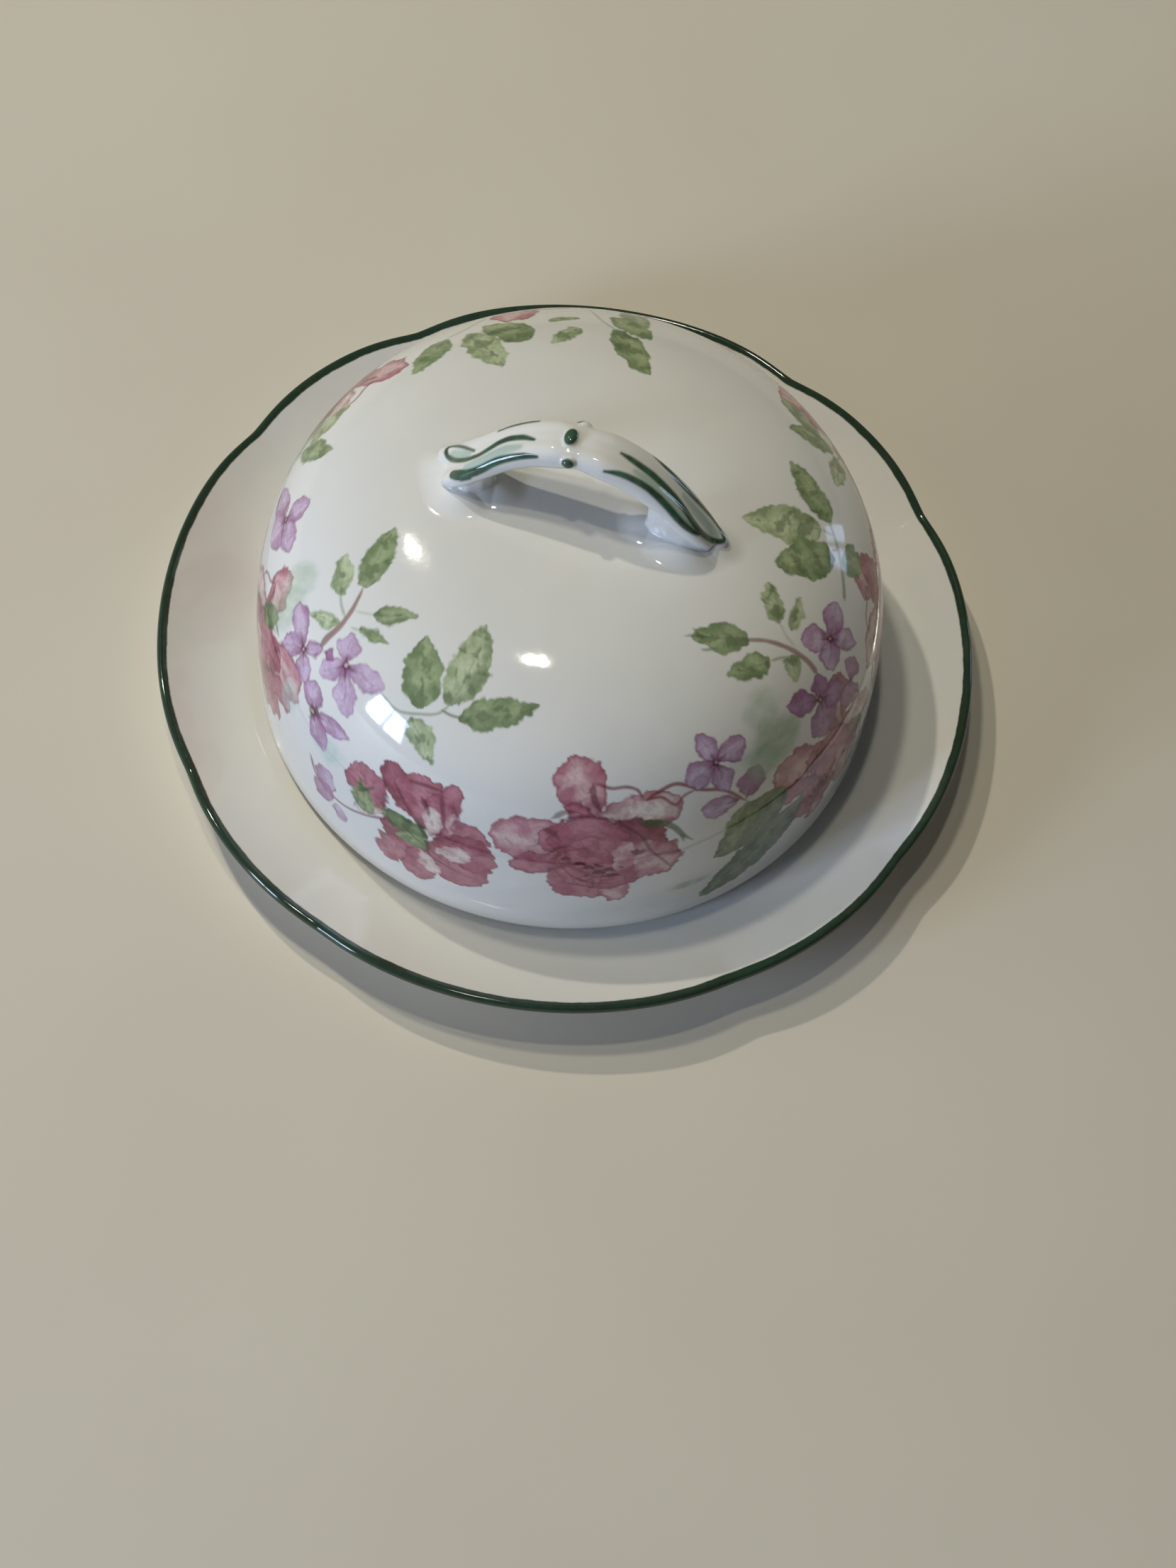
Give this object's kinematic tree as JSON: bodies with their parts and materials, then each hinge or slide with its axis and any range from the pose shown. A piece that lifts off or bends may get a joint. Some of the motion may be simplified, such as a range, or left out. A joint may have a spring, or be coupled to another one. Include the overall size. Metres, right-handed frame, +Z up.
{
  "type": "covered butter dish",
  "caption": "Round porcelain butter dish: a scalloped under-plate with a painted rim line, and a floral domed cover with an arched handle, which lifts off.",
  "frame": {"origin": "on the dish's vertical axis, in the plane that the foot ring rests on", "axes": "+Z up along the axis, +X and +Y through the middles of two of the long lobes of the rim"},
  "size_m": [0.1758, 0.1758, 0.0894],
  "materials": {
    "plate_porcelain": "glossy clear glaze over warm white porcelain, dark green painted line on the rim",
    "cover_porcelain": "glossy clear glaze over white porcelain with printed sprays of roses, lilac flowers and green leaves",
    "handle_porcelain": "glossy clear glaze over white porcelain with painted green lines and dots"
  },
  "bodies": {
    "plate": {"plate": "plate_porcelain"},
    "cover": {"cover_dome": "cover_porcelain", "handle": "handle_porcelain"}
  },
  "joints": [
    {"name": "cover_lift", "type": "slide", "parent": "plate", "child": "cover", "axis": [0, 0, 1], "range_m": [0, 0.12]}
  ]
}
